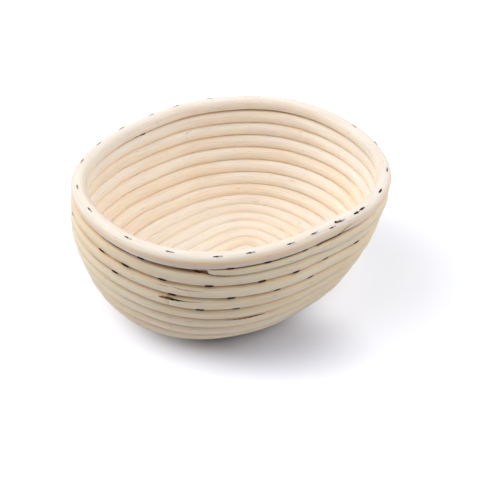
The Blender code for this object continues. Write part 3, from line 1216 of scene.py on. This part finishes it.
    def build_one(self, staple: Staple, materials: list[Material]) -> Object:
        """Builds one staple with its dark lens of bruise and painted shade.

        Args:
            staple: The staple.
            materials: Wire, and bruise with painted shade.

        Returns:
            The piece.
        """
        name = f"{staple.node}_wire"
        points, faces = tube(self.wire_rings())
        if staple.seat is Seat.RIM_SHOULDER:
            points = points @ np.array(Matrix.Rotation(math.radians(self.tilt), 3, "Y"))
        more, dark = tube(self.dark_lens_rings(staple))
        finishes = [0] * len(faces) + [1] * len(dark)
        faces += [[corner + len(points) for corner in face] for face in dark]
        mesh = bpy.data.meshes.new(name)
        mesh.from_pydata(np.concatenate([points, more]).tolist(), [], faces)
        mesh.polygons.foreach_set("material_index", finishes)
        mesh.shade_smooth()
        mesh.transform(self.frame(staple))
        return add_piece(name, mesh, materials, [staple.node])

    def build(self, bright: Material, shaded_groove_wire: Material, bruise_and_shade: Material) -> None:
        """Builds all the staples.

        Args:
            bright: The wire's material on the rim.
            shaded_groove_wire: The wire's material in the grooves, darker: painted shade of the
                grooves.
            bruise_and_shade: The dark lens's material, bruise with painted shade.
        """
        grooves = [(station, seam) for seam, row in self.seam_shares for station in row]
        for prefix, seat, places, wire in (
            ("rim_staple", Seat.RIM_SHOULDER, self.rim_places, bright),
            ("seam_staple", Seat.WALL_GROOVE, grooves, shaded_groove_wire),
        ):
            for i, (station, height) in enumerate(places, 1):
                self.build_one(Staple(f"{prefix}_{i:02d}", seat, station, height), [wire, bruise_and_shade])


@dataclass(frozen=True)
class Softbox:
    """A round diffuser lit from behind, aimed at the basket."""

    name: str
    # Compass bearing in degrees from +X towards +Y, and height above the floor in degrees
    bearing: float
    elevation: float
    power: float
    size: float
    distance: float = 1.6

    def build(self) -> Object:
        """Builds the lamp.

        Returns:
            The lamp.
        """
        data = bpy.data.lights.new(self.name, "AREA")
        data.shape = "DISK"
        data.size = self.size
        data.energy = self.power
        lamp = new_object(self.name, data)
        bearing, elevation = math.radians(self.bearing), math.radians(self.elevation)
        flat = self.distance * math.cos(elevation)
        lamp.location = (
            flat * math.cos(bearing),
            flat * math.sin(bearing),
            self.distance * math.sin(elevation),
        )
        lamp.rotation_euler = (-lamp.location).to_track_quat("-Z", "Y").to_euler()
        return lamp


@dataclass
class Studio:
    """The white sweep, the lamps and the camera."""

    eye: Row = (-315.18 * MM, -334.06 * MM, 365.55 * MM)
    aim: Row = (26.40 * MM, 7.35 * MM, 0.0)
    roll: float = 3.234
    lens: float = 61.285
    # The paper's reach towards the camera, away from it, and to each side
    floor_near: float = 0.4
    floor_far: float = 2.0
    floor_side: float = 1.2
    floor_bearing: float = 47.0
    lamps: tuple[Softbox, ...] = (
        Softbox("left_softbox_low", 137, 40, 13.9, 1.8),
        Softbox("left_softbox_high", 137, 60, 11.8, 1.6),
        Softbox("right_softbox", -43, 45, 14.0, 1.8),
        Softbox("front_right_softbox", 272, 50, 5.3, 1.6),
    )

    def build(self, paper: Material) -> None:
        """Builds the stage.

        Args:
            paper: The floor's material.
        """
        self.add_floor(paper)
        for lamp in self.lamps:
            lamp.build()
        self.add_sky()
        self.add_camera()
        bpy.context.scene.view_settings.view_transform = "Standard"

    def add_floor(self, paper: Material) -> None:
        """Adds the floor.

        Args:
            paper: Its material.
        """
        mesh = bpy.data.meshes.new("paper_floor")
        near, far, side = self.floor_near, self.floor_far, self.floor_side
        corners = [(-near, -side, 0), (far, -side, 0), (far, side, 0), (-near, side, 0)]
        mesh.from_pydata(corners, [], [(0, 1, 2, 3)])
        mesh.transform(Matrix.Rotation(math.radians(self.floor_bearing), 4, "Z"))
        mesh.materials.append(paper)
        floor = new_object("paper_floor", mesh)

    def add_sky(self) -> None:
        """Adds white all round, which the camera and reflections see and which lights nothing."""
        world = bpy.data.worlds.new("studio_white")
        world.use_nodes = True
        tree = world.node_tree
        tree.nodes.clear()
        seen = {"Strength": seen_rays(tree)}
        back = add_node(tree, "ShaderNodeBackground", {"Color": linear(WHITE)}, seen)
        add_node(tree, "ShaderNodeOutputWorld", {}, {"Surface": back.outputs[0]})
        bpy.context.scene.world = world

    def add_camera(self) -> None:
        """Adds the camera at the photograph's angle."""
        data = bpy.data.cameras.new("camera")
        data.lens = self.lens
        data.sensor_width = 36.0
        data.clip_start = 10 * MM
        camera = new_object("camera", data)
        camera.location = self.eye
        camera.rotation_mode = "QUATERNION"
        look = (Vector(self.aim) - Vector(self.eye)).to_track_quat("-Z", "Y")
        camera.rotation_quaternion = look @ Quaternion((0, 0, 1), math.radians(self.roll))
        bpy.context.scene.camera = camera


def main() -> None:
    """Builds the basket's pieces in order, then the stage."""
    logging.basicConfig(level=logging.INFO, format="%(name)s %(message)s")
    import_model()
    wall = OvalWall()
    rattan = PeeledRattan().material()
    rim_rattan = PeeledRattan("rim_peeled_rattan", "FBF0E5", "F6E5D3", "FFFFFF").material()
    # Station of the butt joint at the front left
    splice = 10.0 + 7.5 / 11
    WoundCane(wall, "wound_cane_lower", "body_cane_lower", splice, 56.0).build(rattan)
    TaperedCane(wall, "wound_cane_upper", "body_cane_upper", -1.243, splice, seed=4.0).build(rattan)
    TuckedTail(wall, "tucked_tail_of_cane", "body_cane_upper", -1.62, 0.25, seed=6.0).build(rattan)
    rim = RimCane(wall)
    rim.build(rim_rattan)
    # Near black: bruised wood round staples, and painted shade in their hollows, the splice's gap
    # and the torn tip's hollow
    bruise_and_shade = BruiseAndShadePith().material()
    brown = BruiseAndShadePith("browned_rattan_fibre", "7E4E22", "C4915A").material()
    Tears(wall, rim).build(bruise_and_shade, brown)
    bright = GalvanisedWire().material()
    # A darker, rougher copy of the wire for the grooves; its dark colour is painted shade of the
    # grooves
    shaded_groove_wire = GalvanisedWire("shaded_groove_staple_wire", "5C4A3C", (0.40, 0.65)).material()
    Staples(wall, rim).build(bright, shaded_groove_wire, bruise_and_shade)
    Studio().build(PaperSweep().material())


if __name__ == "__main__":
    main()
